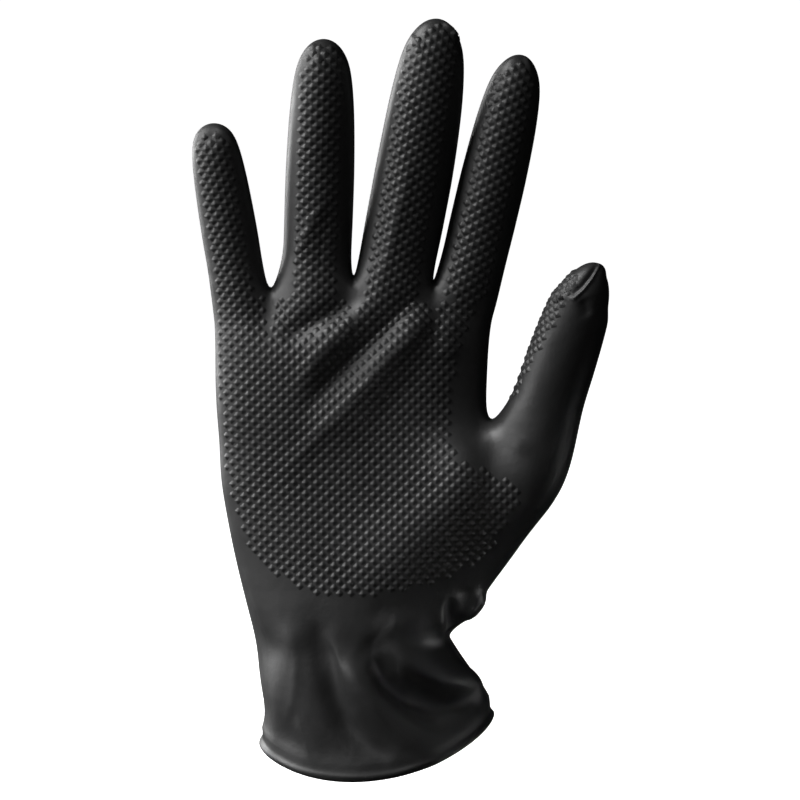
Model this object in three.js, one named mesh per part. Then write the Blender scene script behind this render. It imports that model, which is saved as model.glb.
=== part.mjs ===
// Black nitrile exam glove with its fingers up: a hollow film with a rolled bead round the wrist opening.
// X is to the right, Z is up and the palm faces -Y. The origin is the centre of the wrist opening.
import * as THREE from "three";

// Sizes in millimetres
const GLOVE_RISE = 228;
const PALM_WIDTH = 90;
const PALM_DEPTH = 30;
const FINGER_WIDTH = 24.7;
const FINGER_DEPTH = 20;
const FINGER_CURL = 11;
const THUMB_WIDTH = 22.8;
const THUMB_DEPTH = 20;
const THUMB_FORWARD = 12;
const THUMB_DROP = 8;
const THUMB_REACH = 50;
const THUMB_SPREAD = 15.0;
const WEB_RISE = 5;
const THUMB_WEB_RISE = 6;
const FILM = 1;
const BEAD_DIAMETER = 3;
const HEM_DIP = 9;
const HEM_TILT = 4.6;
const FOLD_DEPTH = 3;
const ROW_STEP = 5.4;

// Mesh columns across one finger, the thumb and a side, and steps round the bead
const FINGER_COLUMNS = 5;
const THUMB_COLUMNS = 4;
const SIDE_COLUMNS = 4;
const BEAD_STEPS = 7;
const SMOOTHING_PASSES = 3;

// Height of the pinch at the wrist, as a share of GLOVE_RISE
const WRIST_PINCH = 0.15;

// Line on the film between palm and thumb, as a share of PALM_WIDTH,
// and the share of a half width where the sides begin
const THUMB_WEB = 0.4044;
const CORNER = 0.93;

// Share of HEM_DIP that the sides of the wrist opening stand above the origin
const HEM_RISE_SHARE = 0.42;

// Sections of the cuff and palm up to the thumb's crotch. Shares: up of GLOVE_RISE,
// left and right of PALM_WIDTH, front and back of PALM_DEPTH, forward of THUMB_FORWARD,
// valley of the depth, drop of THUMB_DROP.
const TRUNK = [
  { up: 0.0, left: -0.4, right: 0.4033, front: 0.8667, back: 0.8667, forward: 0,
    square: 2.1, valley: 0, drop: 0 },
  { up: 0.0219, left: -0.3978, right: 0.4033, front: 0.8667, back: 0.8667,
    forward: 0, square: 2.1, valley: 0, drop: 0 },
  { up: 0.0504, left: -0.3978, right: 0.3656, front: 0.85, back: 0.85, forward: 0,
    square: 2.1, valley: 0, drop: 0 },
  { up: 0.0794, left: -0.4122, right: 0.3333, front: 0.8333, back: 0.8333,
    forward: 0, square: 2.1, valley: 0, drop: 0 },
  { up: 0.1083, left: -0.4189, right: 0.2956, front: 0.8167, back: 0.8, forward: 0,
    square: 2.1, valley: 0, drop: 0 },
  { up: 0.1316, left: -0.4244, right: 0.2689, front: 0.8, back: 0.7667, forward: 0,
    square: 2.15, valley: 0, drop: 0 },
  { up: 0.15, left: -0.4344, right: 0.2444, front: 0.7667, back: 0.7333,
    forward: 0, square: 2.2, valley: 0, drop: 0 },
  { up: 0.1702, left: -0.4478, right: 0.3378, front: 0.7333, back: 0.7,
    forward: 0.05, square: 2.2, valley: 0, drop: 0 },
  { up: 0.1943, left: -0.4633, right: 0.3711, front: 0.6833, back: 0.65,
    forward: 0.12, square: 2.2, valley: 0, drop: 0 },
  { up: 0.2513, left: -0.4967, right: 0.4644, front: 0.6, back: 0.5667,
    forward: 0.35, square: 2.3, valley: 0, drop: 0.1 },
  { up: 0.3079, left: -0.5244, right: 0.5422, front: 0.55, back: 0.5167,
    forward: 0.6, square: 2.4, valley: 0.05, drop: 0.35 },
  { up: 0.3645, left: -0.5467, right: 0.6222, front: 0.5167, back: 0.5,
    forward: 0.85, square: 2.4, valley: 0.2, drop: 0.7 },
  { up: 0.4254, left: -0.56, right: 0.7, front: 0.5, back: 0.4833, forward: 1,
    square: 2.4, valley: 0.45, drop: 1 },
];

// Sections of the palm from the thumb's crotch to the fingers, in the same shares
const PALM = [
  { up: 0.4254, left: -0.5611, right: 0.3933, front: 0.5, back: 0.4833, square: 2.4 },
  { up: 0.4763, left: -0.5622, right: 0.3911, front: 0.4833, back: 0.4833, square: 2.4 },
  { up: 0.5325, left: -0.5611, right: 0.3989, front: 0.45, back: 0.45, square: 2.4 },
  { up: 0.5877, left: -0.5667, right: 0.4189, front: 0.4, back: 0.4, square: 2.3 },
  { up: 0.6184, left: -0.5711, right: 0.4322, front: 0.3833, back: 0.3833, square: 2.3 },
];

// Crotches between the fingers: at as a share of PALM_WIDTH, up of GLOVE_RISE
const WEBS = [
  { at: -0.3667, up: 0.614 },
  { at: -0.0767, up: 0.636 },
  { at: 0.1956, up: 0.6294 },
];

// Fingers from left to right: across of PALM_WIDTH, up of GLOVE_RISE, curl of FINGER_CURL,
// wide of FINGER_WIDTH, deep of FINGER_DEPTH, bow of FINGER_WIDTH, blunt as the power of the tip profile.
const FINGERS = [
  { name: "little", across: -0.4744, up: 0.6294, tipAcross: -0.5633, tipUp: 0.8566,
    curl: 0.3636, wide: 0.7206, deep: 0.75, bow: 0.0, blunt: 0.78 },
  { name: "ring", across: -0.2044, up: 0.643, tipAcross: -0.1711, tipUp: 0.9711,
    curl: 0.9091, wide: 0.8826, deep: 0.925, bow: 0.0, blunt: 1.0 },
  { name: "middle", across: 0.0633, up: 0.643, tipAcross: 0.2167, tipUp: 0.9982,
    curl: 1.0, wide: 1.0, deep: 1.0, bow: 0.0283, blunt: 1.08 },
  { name: "index", across: 0.3267, up: 0.643, tipAcross: 0.5011, tipUp: 0.9496,
    curl: 0.8182, wide: 0.8421, deep: 0.9, bow: 0.004, blunt: 1.15 },
];

// Folds of the film from one point to another: across of PALM_WIDTH, up of GLOVE_RISE,
// wide of PALM_DEPTH, lift of FOLD_DEPTH, above 0 for a ridge and below it for a valley;
// face is -1 on the palm side and 1 on the back.
const FOLDS = [
  { across: -0.0511, up: 0.6228, toAcross: -0.2367, toUp: 0.5439, wide: 0.1267, lift: 0.4, face: -1 },
  { across: 0.1022, up: 0.6175, toAcross: -0.0789, toUp: 0.5355, wide: 0.1267, lift: -0.42, face: -1 },
  { across: -0.0789, up: 0.5355, toAcross: -0.1556, toUp: 0.4943, wide: 0.14, lift: -0.35, face: -1 },
  { across: 0.1711, up: 0.6039, toAcross: -0.0111, toUp: 0.5162, wide: 0.13, lift: 0.45, face: -1 },
  { across: -0.0111, up: 0.5162, toAcross: -0.1622, toUp: 0.4421, wide: 0.13, lift: 0.38, face: -1 },
  { across: 0.2222, up: 0.5768, toAcross: 0.0333, toUp: 0.4864, wide: 0.1667, lift: -0.35, face: -1 },
  { across: -0.3144, up: 0.1487, toAcross: -0.3511, toUp: 0.0268, wide: 0.12, lift: 0.5, face: -1 },
  { across: -0.2856, up: 0.0737, toAcross: -0.22, toUp: 0.0057, wide: 0.1333, lift: 0.3, face: -1 },
  { across: -0.2011, up: 0.1338, toAcross: -0.0956, toUp: 0.0241, wide: 0.1333, lift: -0.5, face: -1 },
  { across: -0.1567, up: 0.1421, toAcross: 0.0056, toUp: 0.0816, wide: 0.14, lift: 0.55, face: -1 },
  { across: 0.0056, up: 0.0816, toAcross: 0.1822, toUp: 0.0211, wide: 0.14, lift: 0.5, face: -1 },
  { across: 0.0167, up: 0.1439, toAcross: 0.1967, toUp: 0.082, wide: 0.1533, lift: -1.05, face: -1 },
  { across: 0.1967, up: 0.082, toAcross: 0.3556, toUp: 0.0623, wide: 0.1533, lift: -0.6, face: -1 },
  { across: 0.0444, up: 0.1724, toAcross: 0.2244, toUp: 0.1513, wide: 0.1167, lift: 0.6, face: -1 },
  { across: 0.2244, up: 0.1513, toAcross: 0.3733, toUp: 0.0908, wide: 0.1167, lift: 0.6, face: -1 },
  { across: 0.2444, up: 0.1711, toAcross: 0.0222, toUp: 0.1886, wide: 0.1133, lift: -0.3, face: -1 },
  { across: -0.3333, up: 0.1842, toAcross: 0.1111, toUp: 0.1404, wide: 0.1667, lift: -0.5, face: 1 },
  { across: -0.2222, up: 0.0614, toAcross: 0.2667, toUp: 0.114, wide: 0.1667, lift: 0.6, face: 1 },
  { across: -0.2667, up: 0.1053, toAcross: 0.2222, toUp: 0.0439, wide: 0.1667, lift: -0.6, face: 1 },
];

// Width of a finger against the distance from its tip, both as shares of its full width
const TIP_PROFILE = [
  { from: 0.0, wide: 0.0 },
  { from: 0.06, wide: 0.36 },
  { from: 0.13, wide: 0.5 },
  { from: 0.26, wide: 0.68 },
  { from: 0.42, wide: 0.785 },
  { from: 0.65, wide: 0.86 },
  { from: 1.0, wide: 0.925 },
  { from: 1.45, wide: 0.97 },
  { from: 2.0, wide: 1.0 },
];
const TIP_STATIONS = [0.16, 0.36, 0.64, 0.96];

const vertices = [];
const faces = [];
const softness = [];
const webPoints = new Map();

const { lerp, clamp, smoothstep } = THREE.MathUtils;

// A column of a table at a value between its rows, by a smooth curve through them
function along(table, key, column, at) {
  const last = table.length - 1;
  if (at <= table[0][key]) return table[0][column];
  if (at >= table[last][key]) return table[last][column];
  let i = 0;
  while (table[i + 1][key] < at) i += 1;
  const slope = (j) => {
    const low = table[Math.max(j - 1, 0)];
    const high = table[Math.min(j + 1, last)];
    return (high[column] - low[column]) / (high[key] - low[key]);
  };
  const span = table[i + 1][key] - table[i][key];
  const t = (at - table[i][key]) / span;
  const ease = 3 * t ** 2 - 2 * t ** 3;
  return (
    lerp(table[i][column], table[i + 1][column], ease) +
    slope(i) * span * (t ** 3 - 2 * t ** 2 + t) +
    slope(i + 1) * span * (t ** 3 - t ** 2)
  );
}

// Adds a point of the outer face; soft is how far the smoothing may move it, from 0 to 1
function addPoint(point, soft = 0) {
  softness.push(soft);
  return vertices.push(point) - 1;
}

// Quads between two loops of one length, the second further from the wrist
function join(low, high) {
  low.forEach((start, i) => {
    const next = (i + 1) % low.length;
    faces.push([start, low[next], high[next], high[i]]);
  });
}

// One closed loop of a section: front from left to right, right side, back from right to left, left side.
// cuts are the x of the lines between groups of columns, from the left corner to the right corner.
function sectionLoop(section, cuts, columns, heightAt, forwardAt, valleyAt) {
  const half = (section.right - section.left) / 2;
  const centre = (section.right + section.left) / 2;
  const turns = cuts.map((cut) => {
    const share = clamp((cut - centre) / half, -CORNER, CORNER);
    return Math.acos(-Math.sign(share) * Math.abs(share) ** (section.square / 2));
  });
  const front = columns.flatMap((count, g) =>
    Array.from({ length: count }, (_, c) => lerp(turns[g], turns[g + 1], c / count)),
  );
  front.push(turns[turns.length - 1]);
  const left = front[0];
  const right = Math.PI - front[front.length - 1];
  const sides = Array.from({ length: SIDE_COLUMNS - 1 }, (_, s) => (2 * (s + 1)) / SIDE_COLUMNS - 1);
  const angles = [
    ...front.map((turn) => Math.PI + turn),
    ...sides.map((share) => right * share),
    ...front.toReversed().map((turn) => Math.PI - turn),
    ...sides.map((share) => Math.PI + left * share),
  ];
  return angles.map((angle) => {
    const across = Math.cos(angle);
    const deep = Math.sin(angle);
    const power = 2 / section.square;
    const x = centre + half * Math.sign(across) * Math.abs(across) ** power;
    const reach = Math.abs(deep) ** power * (1 - valleyAt(x));
    const y = (deep < 0 ? -section.front : section.back) * reach - forwardAt(x);
    return new THREE.Vector3(x, y, heightAt(x, y));
  });
}

// The row of a section table at a height, in millimetres
function sectionAt(table, up) {
  const value = (column) => along(table, "up", column, up / GLOVE_RISE);
  const wide = (column) => value(column) * PALM_WIDTH;
  const deep = (column) => value(column) * PALM_DEPTH;
  return {
    left: wide("left"),
    right: wide("right"),
    front: deep("front"),
    back: deep("back"),
    square: value("square"),
  };
}

const thumbWebAt = THUMB_WEB * PALM_WIDTH;
const trunkTop = TRUNK[TRUNK.length - 1].up * GLOVE_RISE;
const palmTop = PALM[PALM.length - 1].up * GLOVE_RISE;
const corners = (section) => {
  const half = (section.right - section.left) / 2;
  const centre = (section.right + section.left) / 2;
  return [centre - CORNER * half, centre + CORNER * half];
};

// Height of the wrist opening: the front and back dip and the thumb side is a little higher
function hemUp(x, y, section) {
  const deep = clamp(y / section.front, -1, 1);
  return HEM_DIP * (HEM_RISE_SHARE - deep ** 2) + HEM_TILT * (x / section.right);
}

// Rows from the wrist opening to the thumb's crotch
const trunkColumns = [FINGER_COLUMNS, FINGER_COLUMNS, FINGER_COLUMNS, FINGER_COLUMNS, THUMB_COLUMNS];
const topCorners = corners(sectionAt(TRUNK, trunkTop));
const topCuts = [topCorners[0], ...WEBS.map((web) => web.at * PALM_WIDTH), thumbWebAt, topCorners[1]];

function trunkLoop(up) {
  const section = sectionAt(TRUNK, up);
  const part = (column) => along(TRUNK, "up", column, up / GLOVE_RISE);
  const [low, high] = corners(section);
  const [topLow, topHigh] = topCorners;
  const cuts = topCuts.map((cut) => lerp(low, high, (cut - topLow) / (topHigh - topLow)));
  cuts[4] = lerp(cuts[4], thumbWebAt, smoothstep(up / trunkTop, 0.6, 1));
  const hemShare = 1 - smoothstep(up, 0, trunkTop * 0.35);
  const forwardAt = (x) =>
    THUMB_FORWARD *
    part("forward") *
    smoothstep(x, thumbWebAt - PALM_WIDTH * 0.25, thumbWebAt + PALM_WIDTH * 0.2);
  const valleyAt = (x) => part("valley") * Math.exp(-(((x - thumbWebAt) / (PALM_WIDTH * 0.06)) ** 2));
  const dropAt = (x) =>
    THUMB_DROP * part("drop") * smoothstep(x, thumbWebAt - PALM_WIDTH * 0.1, section.right);
  const heightAt = (x, y) => up + hemShare * hemUp(x, y, section) - dropAt(x);
  return sectionLoop(section, cuts, trunkColumns, heightAt, forwardAt, valleyAt);
}

const wristUp = WRIST_PINCH * GLOVE_RISE;
const cuffRows = Math.round(wristUp / ROW_STEP);
const heelRows = Math.round((trunkTop - wristUp) / ROW_STEP);
const trunkRows = cuffRows + heelRows;
const trunk = [];
for (let r = 0; r <= trunkRows; r += 1) {
  const up = r < cuffRows ? (wristUp * r) / cuffRows : lerp(wristUp, trunkTop, (r - cuffRows) / heelRows);
  const soft = smoothstep(r, trunkRows - 3, trunkRows);
  trunk.push(trunkLoop(up).map((point) => addPoint(point, soft)));
  if (r > 0) join(trunk[r - 1], trunk[r]);
}

// Points of a web from the front line to the back line of the film, rising to the crotch between them
function webLine(front, back, rise, soft, lean) {
  const middle = SIDE_COLUMNS / 2 - 1;
  const a = vertices[front];
  const b = vertices[back];
  return Array.from({ length: SIDE_COLUMNS - 1 }, (_, s) => {
    const share = (s + 1) / SIDE_COLUMNS;
    const point = a.clone().lerp(b, share);
    point.z += rise * Math.sin(Math.PI * share) ** 0.7;
    const added = addPoint(point, s === middle ? 0 : soft);
    webPoints.set(added, new THREE.Vector3(Math.cos(lean), 0, -Math.sin(lean)));
    return added;
  });
}

// Splits a loop along web lines; each part is front, right side, back and left side again
function splitLoop(loop, columns, webs) {
  const count = columns.reduce((sum, c) => sum + c, 0);
  const backAt = (c) => loop[count + SIDE_COLUMNS + (count - c)];
  const rightSide = loop.slice(count + 1, count + SIDE_COLUMNS);
  const leftSide = loop.slice(2 * count + SIDE_COLUMNS + 1);
  let start = 0;
  return columns.map((width, g) => {
    const stop = start + width;
    const front = loop.slice(start, stop + 1);
    const back = Array.from({ length: width + 1 }, (_, c) => backAt(stop - c));
    const right = g < webs.length ? webs[g] : rightSide;
    const left = g > 0 ? webs[g - 1].toReversed() : leftSide;
    start = stop;
    return [...front, ...right, ...back, ...left];
  });
}

// The palm and the thumb part at the thumb's crotch
const palmColumns = trunkColumns.slice(0, 4);
const palmCount = 4 * FINGER_COLUMNS;
const trunkCount = palmCount + THUMB_COLUMNS;
const rootLoop = trunk[trunkRows];
const thumbLean = Math.atan2(THUMB_SPREAD, THUMB_REACH) / 2;
const rootBack = rootLoop[2 * trunkCount + SIDE_COLUMNS - palmCount];
const thumbWeb = webLine(rootLoop[palmCount], rootBack, THUMB_WEB_RISE, 0.3, thumbLean);
const [palmRoot, thumbRoot] = splitLoop(rootLoop, [palmCount, THUMB_COLUMNS], [thumbWeb]);

// Height of the fingers' crotches across the palm, below the webs themselves
function palmTopUp(x) {
  const line = [
    { at: -0.57, up: palmTop - 0.012 * GLOVE_RISE },
    ...WEBS.map((web) => ({ at: web.at, up: web.up * GLOVE_RISE })),
    { at: 0.43, up: palmTop },
  ];
  return along(line, "at", "up", x / PALM_WIDTH) - WEB_RISE;
}

function palmLoop(share) {
  const up = lerp(trunkTop, palmTop - WEB_RISE, share);
  const section = sectionAt(PALM, up);
  const [low, high] = corners(section);
  const cuts = [low, ...WEBS.map((web) => web.at * PALM_WIDTH), high];
  const close = smoothstep(share, 0.6, 1) * 0.4;
  const valleyAt = (x) =>
    close *
    Math.max(...WEBS.map((web) => Math.exp(-(((x - web.at * PALM_WIDTH) / (PALM_WIDTH * 0.045)) ** 2))));
  const heightAt = (x) => lerp(up, palmTopUp(x), share ** 2);
  return sectionLoop(section, cuts, palmColumns, heightAt, () => 0, valleyAt);
}

const palmRows = Math.round((palmTop - trunkTop) / ROW_STEP);
let palmLast = palmRoot;
for (let r = 1; r <= palmRows; r += 1) {
  const soft = Math.max(1 - r / 3, smoothstep(r, palmRows - 3, palmRows) * 0.5, 0);
  const loop = palmLoop(r / palmRows).map((point) => addPoint(point, soft));
  join(palmLast, loop);
  palmLast = loop;
}

// How far a finger leans to the right, in radians
function fingerLean(finger) {
  const across = (finger.tipAcross - finger.across) * PALM_WIDTH;
  return Math.atan2(across, (finger.tipUp - finger.up) * GLOVE_RISE);
}

const backOf = (c) => palmLast[2 * palmCount + SIDE_COLUMNS - c];
const fingerWebs = WEBS.map((_, w) => {
  const column = (w + 1) * FINGER_COLUMNS;
  const lean = (fingerLean(FINGERS[w]) + fingerLean(FINGERS[w + 1])) / 2;
  return webLine(palmLast[column], backOf(column), WEB_RISE, 0.15, lean);
});
const fingerRoots = splitLoop(palmLast, palmColumns, fingerWebs);

// Closes a loop with a dome: a grid of quads between its front, back and sides
function capLoop(loop, columns, centre, top) {
  const at = (c, s) => {
    if (s === 0) return loop[c];
    if (c === columns) return loop[columns + s];
    if (s === SIDE_COLUMNS) return loop[2 * columns + SIDE_COLUMNS - c];
    if (c === 0) return loop[(2 * (columns + SIDE_COLUMNS) - s) % loop.length];
    return null;
  };
  const grid = [];
  for (let c = 0; c <= columns; c += 1) {
    grid.push([]);
    for (let s = 0; s <= SIDE_COLUMNS; s += 1) {
      let index = at(c, s);
      if (index === null) {
        const across = c / columns;
        const deep = s / SIDE_COLUMNS;
        const one = vertices[at(c, 0)].clone().lerp(vertices[at(c, SIDE_COLUMNS)], deep);
        const two = vertices[at(0, s)].clone().lerp(vertices[at(columns, s)], across);
        const flat = one.lerp(two, 0.5);
        const edge = Math.max(Math.abs(2 * across - 1), Math.abs(2 * deep - 1));
        flat.addScaledVector(top.clone().sub(centre), 1 - edge ** 2);
        index = addPoint(flat);
      }
      grid[c].push(index);
    }
  }
  for (let c = 0; c < columns; c += 1) {
    for (let s = 0; s < SIDE_COLUMNS; s += 1) {
      faces.push([grid[c][s], grid[c + 1][s], grid[c + 1][s + 1], grid[c][s + 1]]);
    }
  }
}

// A finger from its root loop to its closed tip
function growFinger(rootLoopOfFinger, columns, shape) {
  const { root, tip, wide, deep, bow, blunt } = shape;
  const span = tip.clone().sub(root);
  const reach = span.length();
  const centreAt = (share) => {
    const point = root.clone().addScaledVector(span, share);
    point.y = lerp(root.y, tip.y, share ** 1.6);
    point.x += bow * Math.sin(Math.PI * share);
    return point;
  };
  const stations = TIP_STATIONS.map((from) => 1 - (from * wide) / reach);
  const first = ROW_STEP / reach;
  const body = Math.max(Math.round(((stations[stations.length - 1] - first) * reach) / ROW_STEP), 1);
  for (let r = body - 1; r >= 0; r -= 1) {
    stations.push(lerp(first, stations[TIP_STATIONS.length - 1], r / body));
  }
  stations.sort((a, b) => a - b);
  const count = 2 * (columns + SIDE_COLUMNS);
  let last = rootLoopOfFinger;
  stations.forEach((share, r) => {
    const centre = centreAt(share);
    const axis = centreAt(Math.min(share + 0.02, 1)).sub(centreAt(share - 0.02)).normalize();
    const right = new THREE.Vector3(1, 0, 0).addScaledVector(axis, -axis.x).normalize();
    const back = axis.clone().cross(right);
    const size = along(TIP_PROFILE, "from", "wide", ((1 - share) * reach) / wide) ** blunt;
    const soft = Math.max(0.4 - 0.2 * r, 0);
    const loop = Array.from({ length: count }, (_, i) => {
      const angle = Math.PI * (1 + (SIDE_COLUMNS + 2 * i) / count);
      const point = centre.clone();
      point.addScaledVector(right, (wide / 2) * size * Math.cos(angle));
      point.addScaledVector(back, (deep / 2) * size ** 1.15 * Math.sin(angle));
      return addPoint(point, soft);
    });
    join(last, loop);
    last = loop;
  });
  capLoop(last, columns, centreAt(stations[stations.length - 1]), tip);
}

FINGERS.forEach((finger, g) => {
  growFinger(fingerRoots[g], FINGER_COLUMNS, {
    root: new THREE.Vector3(finger.across * PALM_WIDTH, 0, finger.up * GLOVE_RISE),
    tip: new THREE.Vector3(
      finger.tipAcross * PALM_WIDTH,
      -finger.curl * FINGER_CURL,
      finger.tipUp * GLOVE_RISE,
    ),
    wide: finger.wide * FINGER_WIDTH,
    deep: finger.deep * FINGER_DEPTH,
    bow: finger.bow * FINGER_WIDTH,
    blunt: finger.blunt,
  });
});

const thumbStart = new THREE.Vector3(
  thumbWebAt + 0.68 * THUMB_WIDTH,
  -THUMB_FORWARD,
  trunkTop + 0.3 * THUMB_WIDTH,
);
growFinger(thumbRoot, THUMB_COLUMNS, {
  root: thumbStart,
  tip: thumbStart.clone().add(new THREE.Vector3(THUMB_SPREAD, -THUMB_FORWARD, THUMB_REACH)),
  wide: THUMB_WIDTH,
  deep: THUMB_DEPTH,
  bow: 0,
  blunt: 0.95,
});

// Evens out the places where loops of different shapes meet
const neighbours = vertices.map(() => new Set());
faces.forEach((face) => {
  face.forEach((vertex, i) => {
    neighbours[vertex].add(face[(i + 1) % face.length]);
    neighbours[face[(i + 1) % face.length]].add(vertex);
  });
});
for (let pass = 0; pass < SMOOTHING_PASSES; pass += 1) {
  const moved = vertices.map((point, i) => {
    if (softness[i] === 0) return point;
    const mean = new THREE.Vector3();
    neighbours[i].forEach((other) => mean.add(vertices[other]));
    mean.divideScalar(neighbours[i].size);
    return point.clone().lerp(mean, softness[i] * 0.5);
  });
  moved.forEach((point, i) => vertices[i].copy(point));
}

// Unit normals of the outer face at its points; a web's normals lean to neither of the fingers beside it
function outerNormals() {
  const normals = vertices.map(() => new THREE.Vector3());
  faces.forEach((face) => {
    const one = vertices[face[2]].clone().sub(vertices[face[0]]);
    const two = vertices[face[3]].clone().sub(vertices[face[1]]);
    const normal = one.cross(two);
    face.forEach((vertex) => normals[vertex].add(normal));
  });
  webPoints.forEach((across, vertex) => normals[vertex].projectOnPlane(across));
  return normals.map((normal) => normal.normalize());
}

// Height of the folds at a point of the film
function foldAt(point, normal) {
  return FOLDS.reduce((sum, fold) => {
    if (fold.face * normal.y <= 0) return sum;
    const start = new THREE.Vector2(fold.across * PALM_WIDTH, fold.up * GLOVE_RISE);
    const stop = new THREE.Vector2(fold.toAcross * PALM_WIDTH, fold.toUp * GLOVE_RISE);
    const line = stop.clone().sub(start);
    const away = new THREE.Vector2(point.x, point.z).sub(start);
    const share = clamp(away.dot(line) / line.lengthSq(), 0, 1);
    const distance = away.addScaledVector(line, -share).length();
    const wide = fold.wide * PALM_DEPTH;
    return sum + fold.lift * FOLD_DEPTH * Math.exp(-((distance / wide) ** 2)) * Math.abs(normal.y);
  }, 0);
}
const plain = outerNormals();
vertices.forEach((point, i) => point.addScaledVector(plain[i], foldAt(point, plain[i])));

// The inner face, the same points moved in by the film
const normals = outerNormals();
const inner = vertices.map((point, i) => point.clone().addScaledVector(normals[i], -FILM));
const outerCount = vertices.length;
inner.forEach((point) => vertices.push(point));
const innerFaces = faces.map((face) => face.toReversed().map((vertex) => vertex + outerCount));

// The rolled bead, from the outer face round to the inner face
const hem = trunk[0];
const beadRadius = BEAD_DIAMETER / 2;
const beadLoops = [hem];
const opening = Math.acos(clamp(1 - FILM / beadRadius, -1, 1));
for (let step = 1; step < BEAD_STEPS; step += 1) {
  const turn = lerp(opening, 2 * Math.PI, step / BEAD_STEPS);
  beadLoops.push(
    hem.map((vertex) => {
      const outward = normals[vertex].clone().setZ(0).normalize();
      const point = vertices[vertex].clone();
      point.addScaledVector(outward, -FILM + beadRadius * (1 - Math.cos(turn)));
      point.z += beadRadius * (Math.sin(turn) - Math.sin(opening));
      return vertices.push(point) - 1;
    }),
  );
}
beadLoops.push(hem.map((vertex) => vertex + outerCount));
const beadFaces = [];
beadLoops.slice(1).forEach((loop, l) => {
  loop.forEach((vertex, i) => {
    const next = (i + 1) % loop.length;
    beadFaces.push([vertex, loop[next], beadLoops[l][next], beadLoops[l][i]]);
  });
});

const triangles = [...faces, ...innerFaces, ...beadFaces].flatMap(([a, b, c, d]) => {
  const short = vertices[a].distanceTo(vertices[c]) <= vertices[b].distanceTo(vertices[d]);
  return short ? [a, b, c, a, c, d] : [a, b, d, b, c, d];
});
const geometry = new THREE.BufferGeometry();
const positions = vertices.flatMap((point) => [point.x, point.y, point.z]);
geometry.setAttribute("position", new THREE.Float32BufferAttribute(positions, 3));
geometry.setIndex(triangles);
geometry.computeVertexNormals();

const nitrile = new THREE.MeshStandardMaterial({ name: "nitrile", color: 0x141416, roughness: 0.45 });
const shell = new THREE.Mesh(geometry, nitrile);
shell.name = "glove_shell";

const group = new THREE.Group();
group.name = "nitrile_exam_glove";
group.add(shell);

export default group;
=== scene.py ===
"""Black nitrile exam glove with a raised diamond grip, held open as if worn, on a pale stage."""

import logging
import math
from dataclasses import dataclass, field
from enum import Enum

import bpy
import numpy as np
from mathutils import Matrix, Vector
from mathutils.bvhtree import BVHTree


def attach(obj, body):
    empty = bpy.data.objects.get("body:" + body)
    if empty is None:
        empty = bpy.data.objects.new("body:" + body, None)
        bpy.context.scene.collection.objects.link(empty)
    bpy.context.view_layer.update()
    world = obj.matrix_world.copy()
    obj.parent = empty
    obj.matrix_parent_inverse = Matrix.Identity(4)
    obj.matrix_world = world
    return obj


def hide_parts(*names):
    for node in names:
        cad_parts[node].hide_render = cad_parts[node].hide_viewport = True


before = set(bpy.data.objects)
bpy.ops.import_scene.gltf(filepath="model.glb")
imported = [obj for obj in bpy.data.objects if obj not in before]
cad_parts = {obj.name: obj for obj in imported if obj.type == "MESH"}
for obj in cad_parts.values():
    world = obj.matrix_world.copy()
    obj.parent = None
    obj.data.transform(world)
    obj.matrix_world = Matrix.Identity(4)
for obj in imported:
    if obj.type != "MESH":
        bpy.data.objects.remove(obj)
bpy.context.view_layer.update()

MM = 0.001
log = logging.getLogger("glove")


class Face(Enum):
    """The two broad faces of the glove, by the way that each looks along Y."""

    PALM = -1
    BACK = 1


def deselect_all() -> None:
    """Leaves nothing selected, because operators act on all that is."""
    if bpy.context.object is not None and bpy.context.object.mode != "OBJECT":
        bpy.ops.object.mode_set(mode="OBJECT")
    for item in bpy.context.selected_objects:
        item.select_set(False)


def make_active(item: bpy.types.Object) -> None:
    """Selects one object and makes it active.

    Args:
        item: The object to work on.
    """
    deselect_all()
    item.select_set(True)
    bpy.context.view_layer.objects.active = item


def surface_of(mesh: bpy.types.Mesh) -> BVHTree:
    """Makes a search tree of a mesh's faces, for ray casts.

    Args:
        mesh: The mesh to search.

    Returns:
        The tree of its faces.
    """
    points = [vertex.co for vertex in mesh.vertices]
    faces = [tuple(face.vertices) for face in mesh.polygons]
    return BVHTree.FromPolygons(points, faces)


def smooth_step(value: np.ndarray, low: float, high: float) -> np.ndarray:
    """Rises smoothly from 0 at low to 1 at high.

    Args:
        value: The values to read.
        low: Where the rise starts.
        high: Where it ends.

    Returns:
        The risen values, from 0 to 1.
    """
    share = np.clip((value - low) / (high - low), 0.0, 1.0)
    return share * share * (3.0 - 2.0 * share)


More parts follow.
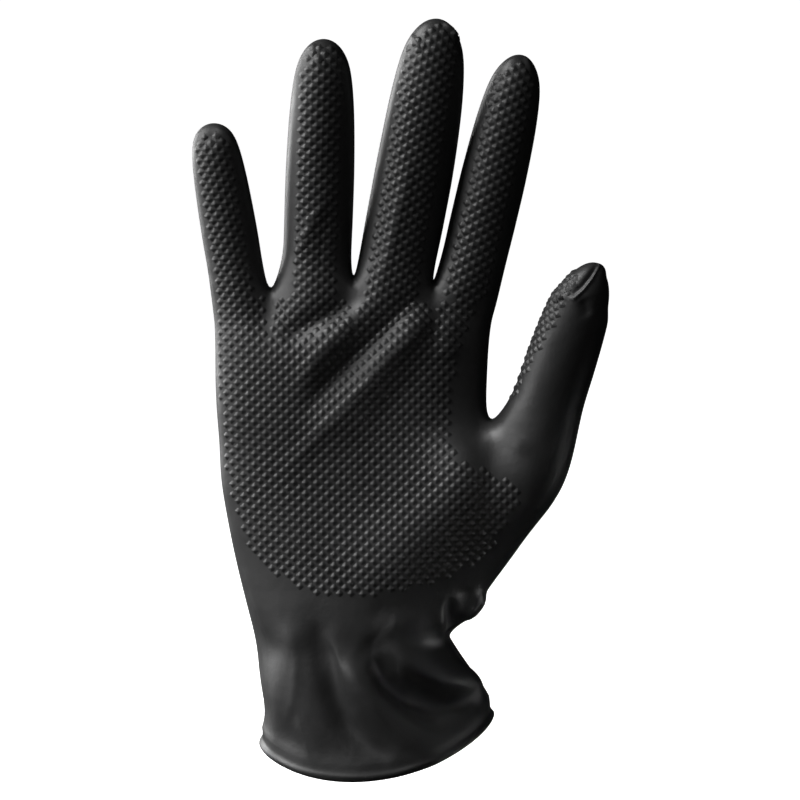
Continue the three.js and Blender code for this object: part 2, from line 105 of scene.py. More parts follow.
@dataclass(frozen=True)
class NitrileFinish:
    """Satin black nitrile film: near-black, with a fine skin that breaks up its highlights."""

    name: str = "nitrile"
    base_dark: tuple[float, float, float] = (0.013, 0.013, 0.0132)
    base_light: tuple[float, float, float] = (0.022, 0.022, 0.0222)
    rough_low: float = 0.4
    rough_high: float = 0.56
    ior: float = 1.5
    patch_scale: float = 55.0
    patch_detail: float = 5.0
    patch_low: float = 0.3
    patch_high: float = 0.7
    wave_scale: float = 190.0
    wave_detail: float = 2.0
    wave_depth: float = 0.00016
    skin_scale: float = 1500.0
    skin_detail: float = 3.0
    skin_depth: float = 0.00003

    def build(self) -> bpy.types.Material:
        """Makes the material.

        Returns:
            The material, with its pattern on Object coordinates.
        """
        material = bpy.data.materials.new(self.name)
        material.use_nodes = True
        tree = material.node_tree
        shader = tree.nodes["Principled BSDF"]
        shader.inputs["IOR"].default_value = self.ior
        place = tree.nodes.new("ShaderNodeTexCoord").outputs["Object"]
        patches = self._noise(tree, place, self.patch_scale, self.patch_detail)

        colour = tree.nodes.new("ShaderNodeMix")
        colour.data_type = "RGBA"
        colour.inputs["A"].default_value = (*self.base_dark, 1.0)
        colour.inputs["B"].default_value = (*self.base_light, 1.0)
        tree.links.new(patches.outputs["Fac"], colour.inputs["Factor"])
        tree.links.new(colour.outputs["Result"], shader.inputs["Base Color"])

        rough = tree.nodes.new("ShaderNodeMapRange")
        rough.inputs["From Min"].default_value = self.patch_low
        rough.inputs["From Max"].default_value = self.patch_high
        rough.inputs["To Min"].default_value = self.rough_low
        rough.inputs["To Max"].default_value = self.rough_high
        tree.links.new(patches.outputs["Fac"], rough.inputs["Value"])
        tree.links.new(rough.outputs["Result"], shader.inputs["Roughness"])

        wave = self._noise(tree, place, self.wave_scale, self.wave_detail)
        wave_bump = self._bump(tree, wave, self.wave_depth)
        skin = self._noise(tree, place, self.skin_scale, self.skin_detail)
        skin_bump = self._bump(tree, skin, self.skin_depth)
        tree.links.new(wave_bump.outputs["Normal"], skin_bump.inputs["Normal"])
        tree.links.new(skin_bump.outputs["Normal"], shader.inputs["Normal"])
        return material

    @staticmethod
    def _noise(
        tree: bpy.types.NodeTree,
        place: bpy.types.NodeSocket,
        scale: float,
        detail: float,
    ) -> bpy.types.Node:
        """Adds a noise pattern.

        Args:
            tree: The material's nodes.
            place: The coordinates to read.
            scale: The pattern's scale.
            detail: The pattern's detail.

        Returns:
            The noise node.
        """
        noise = tree.nodes.new("ShaderNodeTexNoise")
        noise.inputs["Scale"].default_value = scale
        noise.inputs["Detail"].default_value = detail
        tree.links.new(place, noise.inputs["Vector"])
        return noise

    @staticmethod
    def _bump(tree: bpy.types.NodeTree, noise: bpy.types.Node, depth: float) -> bpy.types.Node:
        """Makes a pattern raise the surface.

        Args:
            tree: The material's nodes.
            noise: The pattern.
            depth: How far it raises the surface, in metres.

        Returns:
            The bump node.
        """
        bump = tree.nodes.new("ShaderNodeBump")
        bump.inputs["Strength"].default_value = 1.0
        bump.inputs["Distance"].default_value = depth
        tree.links.new(noise.outputs["Fac"], bump.inputs["Height"])
        return bump


@dataclass(frozen=True)
class Crease:
    """One fold of the film: a ridge where lift is above 0 and a valley below it, in millimetres."""

    path: tuple[tuple[float, float], ...]
    width: float
    lift: float
    face: Face = Face.PALM
    end_fade: float = 0.85
    fade_power: int = 3

    def height(self, across: np.ndarray, up: np.ndarray) -> np.ndarray:
        """Gives the fold's height at each point.

        Args:
            across: The points' X.
            up: The points' Z.

        Returns:
            The height at each point, before the face it is on is taken into account.
        """
        nearest = np.full(across.shape, np.inf)
        place = np.zeros(across.shape)
        steps = len(self.path) - 1
        for step in range(steps):
            (x0, z0), (x1, z1) = self.path[step], self.path[step + 1]
            run_x, run_z = x1 - x0, z1 - z0
            share = ((across - x0) * run_x + (up - z0) * run_z) / (run_x**2 + run_z**2)
            share = np.clip(share, 0.0, 1.0)
            away = np.hypot(across - x0 - share * run_x, up - z0 - share * run_z)
            closer = away < nearest
            nearest = np.where(closer, away, nearest)
            place = np.where(closer, (step + share) / steps, place)
        fade = 1.0 - np.abs(2.0 * place - 1.0) ** self.fade_power * self.end_fade
        return self.lift * fade / (1.0 + (nearest / self.width) ** 2) ** 2


def _folds() -> tuple[Crease, ...]:
    """Lists the glove's folds, from the fingertips to the wrist opening."""
    return (
        # Tips of the middle, ring, index and little fingers
        Crease(((20.9, 225.9), (23.3, 223.8), (25.4, 220.6)), 0.9, 1.1),
        Crease(((11.0, 222.4), (14.0, 218.2)), 0.9, 0.9),
        Crease(((-20.0, 217.8), (-17.9, 219.3)), 0.9, 0.6),
        Crease(((-17.9, 216.3), (-16.1, 213.0)), 0.9, 0.5),
        Crease(((45.9, 215.7), (47.8, 211.5)), 0.9, 0.5),
        Crease(((-48.8, 193.8), (-45.2, 191.4), (-43.7, 187.8)), 0.9, 0.6),
        Crease(((-53.4, 189.9), (-48.8, 191.7)), 1.8, -0.5),
        # Long folds of the ring and middle fingers
        Crease(((-15.4, 171.4), (-19.1, 165.9), (-22.5, 159.2), (-24.4, 153.1)), 1.8, 0.5),
        Crease(((-13.3, 170.2), (-15.8, 161.0), (-18.0, 148.8)), 2.4, -0.3),
        Crease(((10.4, 183.4), (7.4, 169.1), (4.0, 155.0), (1.6, 146.4)), 3.0, 0.6),
        # Foot of the little finger
        Crease(((-56.0, 144.0), (-47.6, 144.8)), 1.2, 0.6),
        Crease(((-55.0, 150.5), (-49.0, 149.8)), 1.1, 0.35),
        # Pinched tip, middle and foot of the thumb
        Crease(
            ((68.3, 154.4), (66.0, 149.6), (63.0, 146.2), (60.4, 143.6), (57.2, 144.0), (53.6, 142.0)),
            0.5,
            1.0,
        ),
        Crease(
            ((67.3, 153.4), (65.2, 150.1), (62.3, 146.8), (59.9, 144.7), (56.6, 144.9)),
            1.7,
            -0.9,
        ),
        Crease(((62.9, 143.2), (65.2, 138.0)), 2.6, -1.0),
        Crease(((41.4, 96.6), (49.1, 97.5)), 1.3, 0.5),
        Crease(((52.2, 93.8), (58.3, 95.7)), 1.2, 0.4),
        Crease(((33.6, 101.1), (35.5, 94.4)), 4.0, 0.5),
        Crease(((45.3, 79.6), (51.2, 76.2)), 1.5, 0.5),
        # Tension folds of the palm, and its heel
        Crease(((-5.2, 141.4), (-13.3, 137.1), (-21.3, 133.3), (-29.3, 129.6)), 4.8, -2.6),
        Crease(
            ((0.9, 142.0), (-6.5, 135.2), (-13.3, 127.7), (-18.9, 120.9), (-23.9, 114.0)),
            4.2,
            1.2,
        ),
        Crease(
            ((17.5, 144.5), (9.2, 138.3), (1.5, 130.5), (-6.8, 123.0), (-15.8, 113.7), (-22.7, 106.5)),
            3.8,
            -1.3,
        ),
        Crease(
            (
                (26.8, 145.1), (18.2, 137.1), (10.8, 129.3), (0.3, 119.0),
                (-9.3, 108.0), (-20.2, 96.4), (-27.1, 88.8),
            ),
            3.4,
            0.8,
        ),
        Crease(((22.5, 137.4), (23.2, 121.8)), 6.0, 1.0),
        Crease(((20.0, 130.8), (9.2, 119.0), (-3.2, 106.5), (-14.7, 93.9)), 5.0, 0.3),
        Crease(((30.6, 97.7), (27.0, 85.0), (13.9, 67.9), (-8.0, 50.1)), 19.0, 4.2),
        # Folds and streaks of the cuff
        Crease(((-54.9, 31.9), (-23.6, 31.9), (7.7, 34.5)), 11.0, -2.2),
        Crease(((-26.4, 35.8), (-25.2, 26.8), (-25.9, 16.8), (-28.2, 8.0)), 2.4, 0.35),
        Crease(((22.3, 49.7), (21.1, 38.2)), 3.6, 1.8),
        Crease(((-0.4, 35.7), (9.2, 28.1), (20.2, 21.6), (32.0, 18.4), (42.0, 15.9)), 8.0, 4.4),
        Crease(((-0.4, 30.0), (4.6, 22.9), (11.4, 17.1), (20.2, 13.0), (31.4, 12.6)), 4.6, -5.2),
        Crease(
            ((-9.7, 28.9), (-7.3, 25.4), (-3.5, 19.0), (2.7, 11.0), (8.9, 4.5), (17.1, 0.7)),
            3.8,
            0.95,
        ),
        Crease(
            ((-19.0, 41.7), (-15.6, 29.6), (-12.9, 18.4), (-9.5, 10.3), (-2.9, 3.3), (5.2, -1.6)),
            4.6,
            -2.2,
        ),
        Crease(((-24.8, 9.7), (-22.6, 3.9), (-20.2, -1.3)), 0.9, 0.35),
        Crease(((-18.5, 9.1), (-11.7, 3.6), (-4.8, -0.9)), 0.9, 0.35),
        # Pinch at the wrist
        Crease(((22.8, 48.6), (22.2, 43.0), (23.4, 38.0)), 2.0, -2.6),
        Crease(((33.6, 49.0), (30.6, 44.4), (27.0, 40.2)), 3.0, 2.9),
        Crease(((25.0, 48.6), (30.0, 50.4)), 1.4, -0.6),
        # Folds of the back
        Crease(((-26.0, 40.0), (-8.0, 34.0), (12.0, 37.0)), 2.4, 0.9, Face.BACK),
        Crease(((-22.0, 30.0), (2.0, 20.0), (24.0, 24.0)), 2.8, -1.1, Face.BACK),
        Crease(((-20.0, 14.0), (24.0, 12.0)), 2.4, 1.0, Face.BACK),
        Crease(((-30.0, 128.0), (-22.0, 118.0)), 2.6, 0.7, Face.BACK),
        Crease(((-4.0, 132.0), (4.0, 118.0)), 2.6, 0.7, Face.BACK),
        Crease(((20.0, 126.0), (30.0, 112.0)), 2.8, 0.8, Face.BACK),
    )


@dataclass
class GloveFilm:
    """The glove's film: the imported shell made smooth, with its finer folds."""

    finish: bpy.types.Material
    node: str = "glove_shell"
    levels: int = 2
    weld: float = 0.00002
    wall_probe: float = 0.4
    outer_mark: float = 0.9
    facing_low: float = 0.05
    facing_high: float = 0.5
    folds: tuple[Crease, ...] = field(default_factory=_folds)
    fine_zones: tuple[tuple[float, float, float, float], ...] = (
        (50.0, 74.0, 136.0, 158.0),
        (8.0, 28.0, 215.0, 230.0),
    )
    hem_dip: float = 9.0
    hem_share: float = 0.42
    hem_deep: float = 26.0
    hem_tilt: float = 4.6
    hem_right: float = 36.3
    flare: float = 1.3
    flare_reach: float = 4.2
    flare_start: float = 0.3
    flare_full: float = 0.8
    roll_top: float = 0.5
    roll_near: float = 1.3
    roll_far: float = 2.6
    roll_passes: int = 30
    roll_pull: float = 0.5
    thumb_axis: tuple[tuple[float, float], tuple[float, float]] = ((51.9, 103.9), (66.9, 153.9))
    thumb_radius: float = 11.0
    pinch_left: float = 1.3
    pinch_right: float = 0.9
    pinch_top: float = 0.7
    pinch_rise: float = 0.7
    thumb_beside: tuple[float, float] = (48.0, 52.0)
    thumb_below: tuple[float, float] = (158.0, 162.0)
    right_across: tuple[float, float] = (0.0, 0.8)
    right_begins: tuple[float, float] = (134.0, 141.0)
    right_ends: tuple[float, float] = (149.0, 153.0)
    left_across: tuple[float, float] = (-0.1, 0.7)
    left_begins: tuple[float, float] = (143.0, 149.0)
    top_across: tuple[float, float] = (-0.4, 0.5)
    top_begins: tuple[float, float] = (149.0, 154.0)
    piece: bpy.types.Object | None = None

    def build(self) -> bpy.types.Object:
        """Makes the film.

        Returns:
            The finished film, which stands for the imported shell.
        """
        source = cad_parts[self.node]
        piece = source.copy()
        piece.data = source.data.copy()
        piece.name = "glove_film"
        piece.parent = None
        bpy.context.collection.objects.link(piece)
        make_active(piece)
        bpy.ops.object.mode_set(mode="EDIT")
        bpy.ops.mesh.select_all(action="SELECT")
        bpy.ops.mesh.remove_doubles(threshold=self.weld)
        bpy.ops.mesh.customdata_custom_splitnormals_clear()
        bpy.ops.mesh.tris_convert_to_quads(face_threshold=math.pi, shape_threshold=math.pi)
        bpy.ops.object.mode_set(mode="OBJECT")
        self._mark_walls(piece)
        smooth = piece.modifiers.new("Smooth", "SUBSURF")
        smooth.levels = self.levels
        smooth.render_levels = self.levels
        bpy.ops.object.modifier_apply(modifier=smooth.name)
        self._refine(piece)
        self._shape(piece)
        bpy.ops.object.shade_smooth()
        piece.data.materials.clear()
        piece.data.materials.append(self.finish)
        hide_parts(self.node)
        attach(piece, "root")
        self.piece = piece
        return piece

    def _mark_walls(self, piece: bpy.types.Object) -> None:
        """Marks each point as on the outer wall, 1, or the inner wall, -1.

        Args:
            piece: The film before it is made smooth.
        """
        mesh = piece.data
        tree = surface_of(mesh)
        marks = mesh.attributes.new("wall", "FLOAT", "POINT")
        for vertex in mesh.vertices:
            start = vertex.co + vertex.normal * self.wall_probe * MM
            front = tree.ray_cast(start, Vector((0.0, -1.0, 0.0)))[0]
            back = tree.ray_cast(start, Vector((0.0, 1.0, 0.0)))[0]
            marks.data[vertex.index].value = -1.0 if front is not None and back is not None else 1.0

    def _refine(self, piece: bpy.types.Object) -> None:
        """Divides the outer wall once more where its finest creases are.

        Args:
            piece: The smooth film.
        """
        bpy.ops.object.mode_set(mode="EDIT")
        bpy.ops.mesh.select_mode(type="FACE")
        bpy.ops.mesh.select_all(action="DESELECT")
        bpy.ops.object.mode_set(mode="OBJECT")
        mesh = piece.data
        walls = mesh.attributes["wall"].data
        for face in mesh.polygons:
            x, _, z = face.center / MM
            inside = any(
                left < x < right and low < z < high for left, right, low, high in self.fine_zones
            )
            face.select = inside and all(walls[i].value > self.outer_mark for i in face.vertices)
        bpy.ops.object.mode_set(mode="EDIT")
        bpy.ops.mesh.subdivide(number_cuts=1, smoothness=0.0)
        bpy.ops.object.mode_set(mode="OBJECT")

    def _shape(self, piece: bpy.types.Object) -> None:
        """Gives the film its folds, its flared hem and the pinched tip of its thumb.

        Args:
            piece: The smooth film.
        """
        mesh = piece.data
        count = len(mesh.vertices)
        points = np.empty(count * 3)
        normals = np.empty(count * 3)
        walls = np.empty(count)
        mesh.vertices.foreach_get("co", points)
        mesh.vertices.foreach_get("normal", normals)
        mesh.attributes["wall"].data.foreach_get("value", walls)
        points = points.reshape(-1, 3) / MM
        outward = normals.reshape(-1, 3) * np.sign(walls)[:, None]
        lift = np.zeros(count)
        for fold in self.folds:
            facing = np.clip(outward[:, 1] * fold.face.value, 0.0, 1.0)
            lift += fold.height(points[:, 0], points[:, 2]) * smooth_step(
                facing, self.facing_low, self.facing_high
            )
        points = self._flare(points + outward * lift[:, None])
        points = self._soften_hem(mesh, points)
        points = self._pinch_thumb(points)
        mesh.vertices.foreach_set("co", (points * MM).ravel())
        mesh.attributes.remove(mesh.attributes["wall"])
        mesh.update()

    def _above_hem(self, points: np.ndarray) -> np.ndarray:
        """Tells how far each point is above the hem's line.

        Args:
            points: The film's points, in millimetres.

        Returns:
            The heights above the hem, in millimetres.
        """
        hem = self.hem_dip * (self.hem_share - (points[:, 1] / self.hem_deep) ** 2)
        return points[:, 2] - hem - self.hem_tilt * points[:, 0] / self.hem_right

    def _soften_hem(self, mesh: bpy.types.Mesh, points: np.ndarray) -> np.ndarray:
        """Melts the rolled hem into the film above it, by averaging neighbours.

        Args:
            mesh: The film's mesh, for its edges.
            points: The film's points, in millimetres.

        Returns:
            The points after the averaging.
        """
        away = np.abs(self._above_hem(points) - self.roll_top)
        share = 1.0 - smooth_step(away, self.roll_near, self.roll_far)
        ends = np.empty(len(mesh.edges) * 2, dtype=np.int64)
        mesh.edges.foreach_get("vertices", ends)
        ends = ends.reshape(-1, 2)
        ends = ends[(share[ends] > 0.0).any(axis=1)]
        both = np.concatenate([ends, ends[:, ::-1]])
        degree = np.maximum(np.bincount(both[:, 0], minlength=len(points)), 1)
        moved = points.copy()
        for _ in range(self.roll_passes):
            for axis in range(3):
                pull = moved[both[:, 1], axis]
                total = np.bincount(both[:, 0], weights=pull, minlength=len(points))
                moved[:, axis] += self.roll_pull * share * (total / degree - moved[:, axis])
        return moved

    def _flare(self, points: np.ndarray) -> np.ndarray:
        """Leads the film out to its rolled hem in one curve.

        Args:
            points: The film's points, in millimetres.

        Returns:
            The points after the flare.
        """
        above = np.clip(self._above_hem(points), 0.0, None)
        push = self.flare * np.exp(-((above / self.flare_reach) ** 2))
        push = push * smooth_step(above, self.flare_start, self.flare_full)
        way = points * np.array([1.0, 1.0, 0.0])
        way = way / np.maximum(np.linalg.norm(way, axis=1), 1.0)[:, None]
        return points + way * push[:, None]

    def _pinch_thumb(self, points: np.ndarray) -> np.ndarray:
        """Gives the thumb's tip its flat left side and its corner at the top right.

        Args:
            points: The film's points, in millimetres.

        Returns:
            The points after the pinch.
        """
        (x0, z0), (x1, z1) = self.thumb_axis
        x, z = points[:, 0], points[:, 2]
        near = smooth_step(x, *self.thumb_beside) * (1.0 - smooth_step(z, *self.thumb_below))
        across = (x - x0 - (x1 - x0) * (z - z0) / (z1 - z0)) / self.thumb_radius
        right = smooth_step(across, *self.right_across) * smooth_step(z, *self.right_begins)
        right = right * (1.0 - smooth_step(z, *self.right_ends))
        left = smooth_step(-across, *self.left_across) * smooth_step(z, *self.left_begins)
        top = smooth_step(z, *self.top_begins)
        sideways = self.pinch_left * left - self.pinch_right * right + self.pinch_top * top
        moved = points.copy()
        moved[:, 0] += near * sideways
        moved[:, 2] += near * self.pinch_rise * top * smooth_step(across, *self.top_across)
        return moved

    def surface(self) -> BVHTree:
        """Gives the finished film's surface for other pieces to sit on."""
        return surface_of(self.piece.data)


@dataclass(frozen=True)
class FingerLine:
    """One finger in the grip: its centre line, slope and the edges of its grip, in millimetres."""

    centre: float
    slope: float
    half_width: float
    left: float
    right: float
    top: float
    web_left: float
    web_right: float


# Little, ring, middle and index fingers
PALM_FINGERS = (
    FingerLine(-41.6, -0.150, 8.6, -8.4, 5.4, 192.6, -60.0, -33.2),
    FingerLine(-18.7, 0.040, 10.9, -6.6, 7.6, 219.2, -33.2, -6.8),
    FingerLine(4.6, 0.171, 12.3, -9.2, 8.2, 225.4, -6.8, 17.6),
    FingerLine(27.9, 0.225, 10.4, -8.0, 6.6, 213.8, 17.6, 60.0),
)
# Outlines of the grip on the palm and on the back, in millimetres
PALM_EDGE = (
    (-49.0, 141.0), (-48.6, 120.0), (-48.2, 100.0), (-46.7, 85.4), (-44.6, 74.6), (-42.2, 69.2),
    (-38.2, 60.0), (-32.6, 55.8), (-26.7, 52.6), (-18.9, 50.1), (-10.5, 49.4), (-2.3, 49.7),
    (4.9, 51.0), (13.3, 52.3), (19.3, 53.9), (27.7, 56.8), (33.6, 61.9), (37.3, 66.0),
    (39.8, 70.2), (43.8, 77.1), (44.4, 83.2), (41.6, 86.0), (33.8, 89.8), (26.0, 92.6),
    (22.9, 99.6), (23.5, 109.3), (25.0, 119.0), (27.4, 128.3), (30.8, 136.1), (33.0, 141.0),
)
BACK_EDGE = (
    (-47.0, 141.0), (-46.5, 120.0), (-46.0, 95.0), (-43.0, 72.0), (-38.0, 60.0), (-28.0, 53.0),
    (-10.0, 50.0), (8.0, 51.0), (20.0, 56.0), (28.0, 66.0), (31.0, 80.0), (31.5, 100.0),
    (32.0, 120.0), (34.0, 141.0),
)
LEVEL_RISE = 1e-9


def inside_edge(
    across: np.ndarray,
    up: np.ndarray,
    edge: tuple[tuple[float, float], ...],
) -> np.ndarray:
    """Tells which points are inside a closed outline.

    Args:
        across: The points' X.
        up: The points' Z.
        edge: The outline's corners in order.

    Returns:
        True for each point inside.
    """
    within = np.zeros(across.shape, dtype=bool)
    for (x0, z0), (x1, z1) in zip(edge, edge[1:] + edge[:1]):
        spans = (z0 > up) != (z1 > up)
        rise = z1 - z0 if z1 != z0 else LEVEL_RISE
        reach = (x1 - x0) * (up - z0) / rise + x0
        within ^= spans & (across < reach)
    return within


@dataclass
class GripStud:
    """One raised diamond of the grip, as a low pyramid with softened edges."""

    half_across: float = 1.55
    half_along: float = 1.5
    height: float = 0.46
    sink: float = 0.08
    crown: float = 0.24
    softening: float = 0.16
    middle: float = 0.5
    foot_up: float = 0.01

    def template(self) -> tuple[np.ndarray, list[tuple[int, ...]]]:
        """Models the stud once.

        Returns:
            Its points, as shares of its half sizes and height, and its faces.
        """
        deselect_all()
        bpy.ops.mesh.primitive_cone_add(
            vertices=4,
            radius1=1.0,
            radius2=self.crown,
            depth=1.0,
            location=(0.0, 0.0, self.middle),
        )
        stud = bpy.context.object
        bpy.ops.object.transform_apply(location=True, rotation=False, scale=False)
        bpy.ops.object.mode_set(mode="EDIT")
        bpy.ops.mesh.select_all(action="DESELECT")
        bpy.ops.object.mode_set(mode="OBJECT")
        for edge in stud.data.edges:
            ends = [stud.data.vertices[i].co.z for i in edge.vertices]
            edge.select = max(ends) > self.middle
        bpy.ops.object.mode_set(mode="EDIT")
        bpy.ops.mesh.select_mode(type="EDGE")
        bpy.ops.mesh.bevel(offset=self.softening, segments=1, affect="EDGES", clamp_overlap=True)
        bpy.ops.object.mode_set(mode="OBJECT")
        points = np.array([tuple(v.co) for v in stud.data.vertices])
        faces = [tuple(p.vertices) for p in stud.data.polygons if p.center.z > self.foot_up]
        bpy.data.objects.remove(stud, do_unlink=True)
        return points, faces


@dataclass
class DiamondGrip:
    """A field of raised diamonds laid on the film in rows that follow the hand and the fingers."""

    name: str
    finish: bpy.types.Material
    face: Face
    edge: tuple[tuple[float, float], ...]
    fingers: tuple[FingerLine, ...] = PALM_FINGERS
    stud: GripStud = field(default_factory=GripStud)
    pitch_across: float = 3.55
    pitch_along: float = 3.4
    bend_low: float = 124.0
    bend_high: float = 152.0
    web_gap: float = 1.3
    web_depth: float = 1.5
    overlap: float = 7.0
    spacing: float = 2.75
    first_row: float = 40.0
    rows_reach: float = 200.0
    columns_each_side: int = 20
    column_shift: float = 4.0
    palm_top: float = 141.0
    web_up: float = 143.0
    climb_start: float = 140.0
    climb_bulge: float = 2.0
    climb_width: float = 7.0
    side_turn: float = 1.4
    tip_round: float = 8.0
    ray_start: float = 0.2
    least_facing: float = 0.35

    def build(self, film: BVHTree) -> bpy.types.Object:
        """Lays the grip on the film.

        Args:
            film: The film's surface.

        Returns:
            The joined studs.
        """
        spots = self._spots()
        way = Vector((0.0, float(-self.face.value), 0.0))
        starts = [Vector((x * MM, self.ray_start * self.face.value, z * MM)) for x, z, _ in spots]
        placed = []
        for start, (_, _, lean) in zip(starts, spots):
            hit, normal, _, _ = film.ray_cast(start, way)
            if hit is None or normal.y * self.face.value < self.least_facing:
                continue
            placed.append((hit, normal, Vector((math.sin(lean), 0.0, math.cos(lean)))))
        return join_studs(self.name, self.stud, placed, self.finish)

    def _spots(self) -> list[tuple[float, float, float]]:
        """Works out where the diamonds go.

        Returns:
            Each diamond's X, Z and lean, in millimetres and radians.
        """
        rows = np.arange(0, 2 * int(self.rows_reach / self.pitch_along))
        columns = np.arange(-self.columns_each_side, self.columns_each_side + 1)
        row, column = np.meshgrid(rows, columns, indexing="ij")
        along = self.first_row + row * self.pitch_along / 2.0
        across = (column + 0.5 * (row % 2)) * self.pitch_across - self.column_shift
        spots = []
        spare = []
        for finger in self.fingers:
            wide = across > finger.web_left - self.overlap
            wide &= across <= finger.web_right + self.overlap
            mine = ((across > finger.web_left) & (across <= finger.web_right))[wide]
            side = across[wide] - finger.centre
            up = along[wide]
            bend = smooth_step(up, self.bend_low, self.bend_high)
            turn = np.clip(side / finger.half_width, -self.side_turn, self.side_turn)
            round_side = finger.half_width * np.sin(turn)
            lateral = side + (round_side - side) * bend
            angle = math.atan(finger.slope) * bend
            above = up - self.climb_start
            climb = np.clip(above, 0.0, None)
            climb = climb + self.climb_bulge * np.exp(-((above / self.climb_width) ** 2))
            x = finger.centre + finger.slope * climb + lateral * np.cos(angle)
            z = up - lateral * np.sin(angle)
            palm = (up < self.palm_top) & inside_edge(x, z, self.edge)
            past = (z - (finger.top - self.tip_round)) / self.tip_round
            reach = np.sqrt(1.0 - np.clip(past, 0.0, 1.0) ** 2)
            finger_part = (side > finger.left * reach) & (side < finger.right * reach)
            finger_part &= (up >= self.palm_top) & (z < finger.top)
            near_web = np.zeros(x.shape, dtype=bool)
            for web in (finger.web_left, finger.web_right):
                close = np.abs(side + finger.centre - web) < self.web_gap
                near_web |= close & (up > self.web_up - self.web_depth)
            keep = (palm | finger_part) & ~near_web
            extra = palm & ~near_web & ~mine & (z > self.bend_low)
            keep &= mine
            spots += list(zip(x[keep].tolist(), z[keep].tolist(), angle[keep].tolist()))
            spare += list(zip(x[extra].tolist(), z[extra].tolist(), angle[extra].tolist()))
        for spot in sorted(spare, key=lambda item: item[1]):
            gaps = (math.hypot(spot[0] - other[0], spot[1] - other[1]) for other in spots)
            if all(gap > self.spacing for gap in gaps):
                spots.append(spot)
        return spots


@dataclass
class ThumbGrip:
    """The raised diamonds round the pad of the thumb, which looks towards the palm."""

    name: str
    finish: bpy.types.Material
    stud: GripStud = field(default_factory=GripStud)
    root: tuple[float, float, float] = (51.9, -12.0, 103.9)
    tip: tuple[float, float, float] = (66.9, -24.0, 153.9)
    radius: float = 11.2
    low: float = 4.0
    high: float = 51.0
    turn_root: float = 78.0
    turn_low: float = 36.0
    turn_high: float = 140.0
    turn_share: float = 0.75
    bow: float = 1.6
    columns_each_side: int = 10
    ray_start: float = 30.0
    ray_length: float = 0.03
    least_facing: float = 0.35
    pitch_across: float = 3.55
    pitch_along: float = 3.4

    def build(self, film: BVHTree) -> bpy.types.Object:
        """Lays the thumb's grip on the film.

        Args:
            film: The film's surface.

        Returns:
            The joined studs.
        """
        root, tip = Vector(self.root), Vector(self.tip)
        axis = (tip - root).normalized()
        front = Vector((0.0, -1.0, 0.0))
        front = (front - axis * front.dot(axis)).normalized()
        left = axis.cross(front).normalized()
        left = left if left.x < 0 else -left
        step = self.pitch_across / self.radius
        placed = []
        for row in range(int((self.high - self.low) / self.pitch_along * 2)):
            along = self.low + row * self.pitch_along / 2.0
            for column in range(-self.columns_each_side, self.columns_each_side + 1):
                turn = math.pi / 2 + (column + 0.5 * (row % 2)) * step
                share = along / (tip - root).length
                narrowed = min(share / self.turn_share, 1.0)
                start_turn = self.turn_root + (self.turn_low - self.turn_root) * narrowed
                if not math.radians(start_turn) < turn < math.radians(self.turn_high):
                    continue
                out = front * math.cos(turn) + left * math.sin(turn)
                centre = root + axis * along
                centre.y = root.y + (tip.y - root.y) * share**self.bow
                start = (centre + out * self.ray_start) * MM
                hit, normal, _, _ = film.ray_cast(start, -out, self.ray_length)
                if hit is None or normal.dot(out) < self.least_facing:
                    continue
                placed.append((hit, normal, axis))
        return join_studs(self.name, self.stud, placed, self.finish)


def join_studs(
    name: str,
    stud: GripStud,
    placed: list[tuple[Vector, Vector, Vector]],
    finish: bpy.types.Material,
) -> bpy.types.Object:
    """Copies one stud to every place and joins the copies.

    Args:
        name: The joined piece's name.
        stud: The stud to copy.
        placed: For each copy, its foot on the film, the film's normal there and the way up its row.
        finish: The material to dress it with.

    Returns:
        The joined piece.
    """
    shape, faces = stud.template()
    size = np.array([stud.half_across, stud.half_along, stud.height + stud.sink]) * MM
    local = shape * size
    local[:, 2] -= stud.sink * MM
    feet = np.array([tuple(foot) for foot, _, _ in placed])
    normals = np.array([tuple(normal) for _, normal, _ in placed])
    ways = np.array([tuple(way) for _, _, way in placed])
    ways = ways - normals * np.sum(ways * normals, axis=1)[:, None]
    ways = ways / np.linalg.norm(ways, axis=1)[:, None]
    sides = np.cross(ways, normals)
    points = (
        feet[:, None, :]
        + local[None, :, 0, None] * sides[:, None, :]
        + local[None, :, 1, None] * ways[:, None, :]
        + local[None, :, 2, None] * normals[:, None, :]
    ).reshape(-1, 3)
    count = len(shape)
    all_faces = []
    for copy in range(len(placed)):
        all_faces += [tuple(i + copy * count for i in face) for face in faces]
    mesh = bpy.data.meshes.new(name)
    mesh.from_pydata(points.tolist(), [], all_faces)
    mesh.update()
    piece = bpy.data.objects.new(name, mesh)
    bpy.context.collection.objects.link(piece)
    mesh.polygons.foreach_set("use_smooth", [True] * len(mesh.polygons))
    mesh.materials.append(finish)
    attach(piece, "root")
    return piece


@dataclass(frozen=True)
class AreaLight:
    """One soft light, aimed at the glove."""

    name: str
    place: tuple[float, float, float]
    size: tuple[float, float]
    power: float
    aim: tuple[float, float, float] = (0.0, 0.0, 0.11)
    spread: float = 180.0

    def build(self) -> bpy.types.Object:
        """Makes the light.

        Returns:
            The light, turned towards its aim.
        """
        data = bpy.data.lights.new(self.name, "AREA")
        data.shape = "RECTANGLE"
        data.size, data.size_y = self.size
        data.energy = self.power
        data.spread = math.radians(self.spread)
        light = bpy.data.objects.new(self.name, data)
        light.location = self.place
        way = Vector(self.aim) - Vector(self.place)
        light.rotation_euler = way.to_track_quat("-Z", "Y").to_euler()
        bpy.context.collection.objects.link(light)
        return light


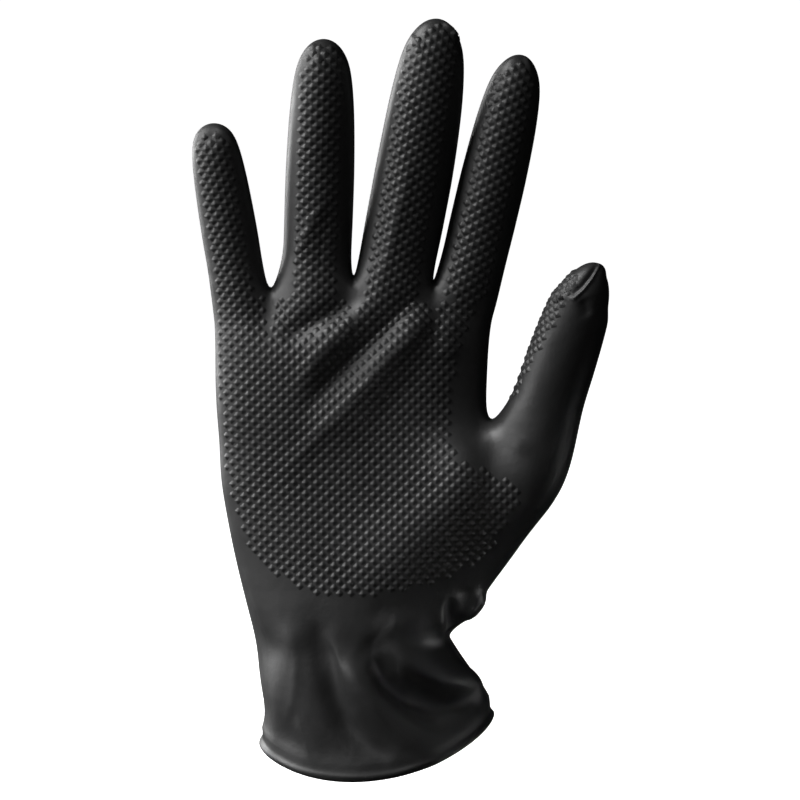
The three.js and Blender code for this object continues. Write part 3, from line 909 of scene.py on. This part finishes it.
@dataclass
class Studio:
    """The pale floor, the soft lights and the camera."""

    floor_up: float = -0.2
    floor_reach: float = 6.0
    distance: float = 0.9
    elevation: float = 9.0
    target: tuple[float, float, float] = (0.00769, 0.0, 0.10801)
    frame_width: float = 0.2516
    ambient: float = 0.009
    sensor: float = 36.0
    clip_near: float = 0.01
    clip_far: float = 50.0
    sheet_colour: tuple[float, float, float] = (0.9, 0.9, 0.9)
    sheet_roughness: float = 0.9
    lights: tuple[AreaLight, ...] = (
        AreaLight("key_left", (-1.036, -0.278, 1.01), (0.9, 0.9), 27.0),
        AreaLight("low_left", (-1.332, -0.357, 0.353), (0.9, 0.9), 9.0),
        AreaLight("rim_left", (-1.129, 0.791, 0.353), (0.9, 0.9), 20.0),
        AreaLight("front_left", (-0.55, -1.15, 0.75), (1.0, 1.0), 2.0),
        AreaLight("fill_right", (0.975, -0.975, 0.353), (0.9, 0.9), 0.4),
        AreaLight(
            "low_right",
            (0.6, -0.15, -0.12),
            (0.12, 0.12),
            0.008,
            aim=(0.032, 0.0, 0.035),
            spread=12.0,
        ),
    )

    def build(self) -> None:
        """Makes the floor, backdrop, world, lights and camera."""
        self._sweep()
        for light in self.lights:
            light.build()
        world = bpy.data.worlds.new("studio")
        world.use_nodes = True
        background = world.node_tree.nodes["Background"]
        background.inputs["Color"].default_value = (1.0, 1.0, 1.0, 1.0)
        background.inputs["Strength"].default_value = self.ambient
        bpy.context.scene.world = world
        view = bpy.context.scene.view_settings
        view.view_transform = "Standard"
        view.look = "None"
        self._camera()

    def _sweep(self) -> None:
        """Makes the floor and the backdrop that rises at its edges, as one pale sheet."""
        deselect_all()
        place = (0.0, 0.0, self.floor_up)
        bpy.ops.mesh.primitive_plane_add(size=2 * self.floor_reach, location=place)
        sweep = bpy.context.object
        sweep.name = "pale_floor"
        bpy.ops.object.mode_set(mode="EDIT")
        bpy.ops.mesh.select_mode(type="EDGE")
        bpy.ops.mesh.select_all(action="SELECT")
        rise = (0.0, 0.0, self.floor_reach)
        bpy.ops.mesh.extrude_edges_move(TRANSFORM_OT_translate={"value": rise})
        bpy.ops.object.mode_set(mode="OBJECT")
        material = bpy.data.materials.new("pale_sheet")
        material.use_nodes = True
        shader = material.node_tree.nodes["Principled BSDF"]
        shader.inputs["Base Color"].default_value = (*self.sheet_colour, 1.0)
        shader.inputs["Roughness"].default_value = self.sheet_roughness
        shader.inputs["Emission Color"].default_value = (1.0, 1.0, 1.0, 1.0)
        shader.inputs["Emission Strength"].default_value = 1.0
        sweep.data.materials.append(material)
        sweep.visible_glossy = False
        sweep.visible_diffuse = False

    def _camera(self) -> None:
        """Makes the camera at the photograph's viewing angle."""
        data = bpy.data.cameras.new("camera")
        data.sensor_width = self.sensor
        data.lens = self.sensor * self.distance / self.frame_width
        data.clip_start = self.clip_near
        data.clip_end = self.clip_far
        camera = bpy.data.objects.new("camera", data)
        rise = math.radians(self.elevation)
        target = Vector(self.target)
        camera.location = target + Vector((0.0, -math.cos(rise), math.sin(rise))) * self.distance
        camera.rotation_euler = (target - camera.location).to_track_quat("-Z", "Y").to_euler()
        bpy.context.collection.objects.link(camera)
        bpy.context.scene.camera = camera


def main() -> None:
    """Builds the glove and its stage, and reports each piece."""
    logging.basicConfig(level=logging.INFO, format="%(message)s")
    deselect_all()
    finish = NitrileFinish().build()
    film = GloveFilm(finish)
    pieces = [film.build()]
    surface = film.surface()
    pieces.append(DiamondGrip("grip_front", finish, Face.PALM, PALM_EDGE).build(surface))
    pieces.append(DiamondGrip("grip_back", finish, Face.BACK, BACK_EDGE).build(surface))
    pieces.append(ThumbGrip("grip_thumb", finish).build(surface))
    for piece in pieces:
        faces = sum(len(p.vertices) - 2 for p in piece.data.polygons)
        log.info("%s: %d triangles", piece.name, faces)
    Studio().build()


if __name__ == "__main__":
    main()
